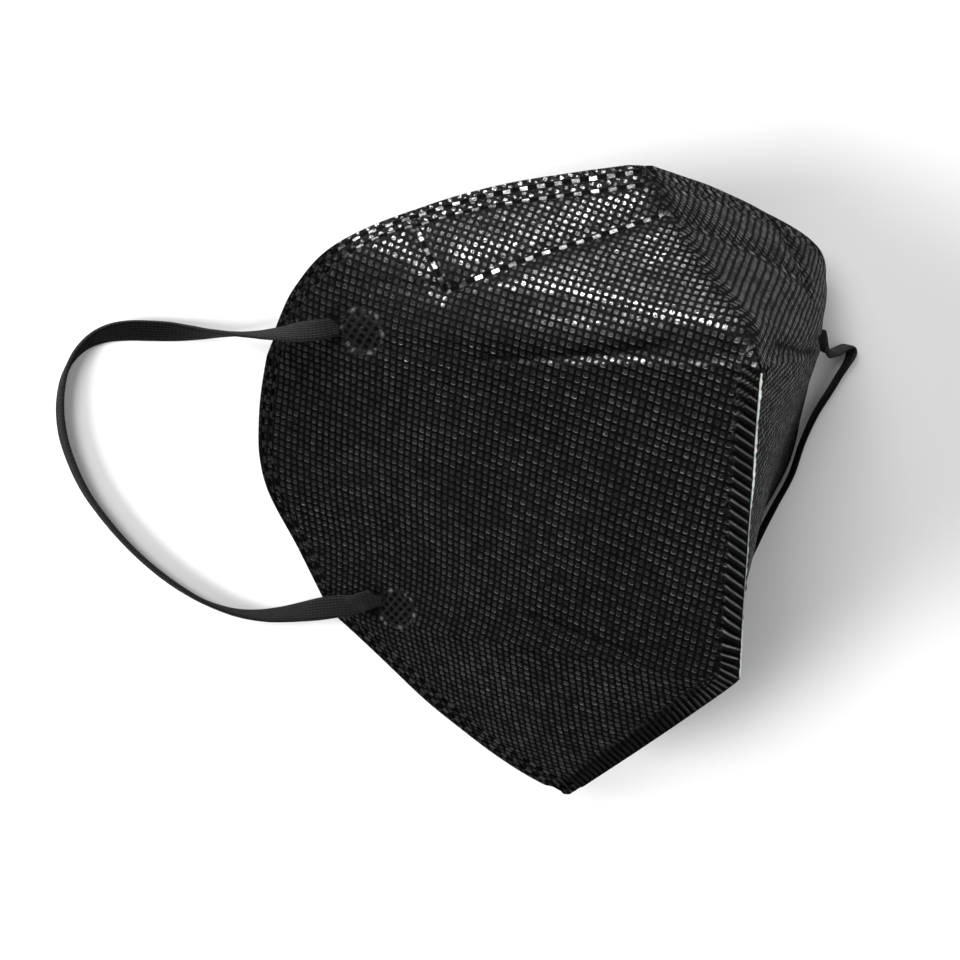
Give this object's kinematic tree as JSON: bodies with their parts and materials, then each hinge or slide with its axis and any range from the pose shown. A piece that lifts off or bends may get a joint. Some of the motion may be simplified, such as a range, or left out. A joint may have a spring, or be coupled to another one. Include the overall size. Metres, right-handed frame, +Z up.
{
  "type": "respirator mask",
  "caption": "Black fold-flat respirator mask with a welded front seam and ear loops, opened out and resting on its rim.",
  "frame": {"origin": "on the surface that the mask rests on, below the middle of the mask body without its ear loops", "axes": "+Z up from the rim to the front seam, +Y towards the nose end, +X towards the half whose ear loop lies close to the mask"},
  "size_m": [0.1884, 0.1336, 0.085],
  "materials": {
    "shell_fabric": "point-bonded nonwoven, matte with glossy bond points",
    "filter_fabric": "white fibrous, matte",
    "elastic": "knitted elastic, matte"
  },
  "bodies": {
    "root": {"mask_shell": "shell_fabric", "seam_filter_edge": "filter_fabric", "left_ear_loop": "elastic", "right_ear_loop": "elastic"}
  },
  "joints": []
}
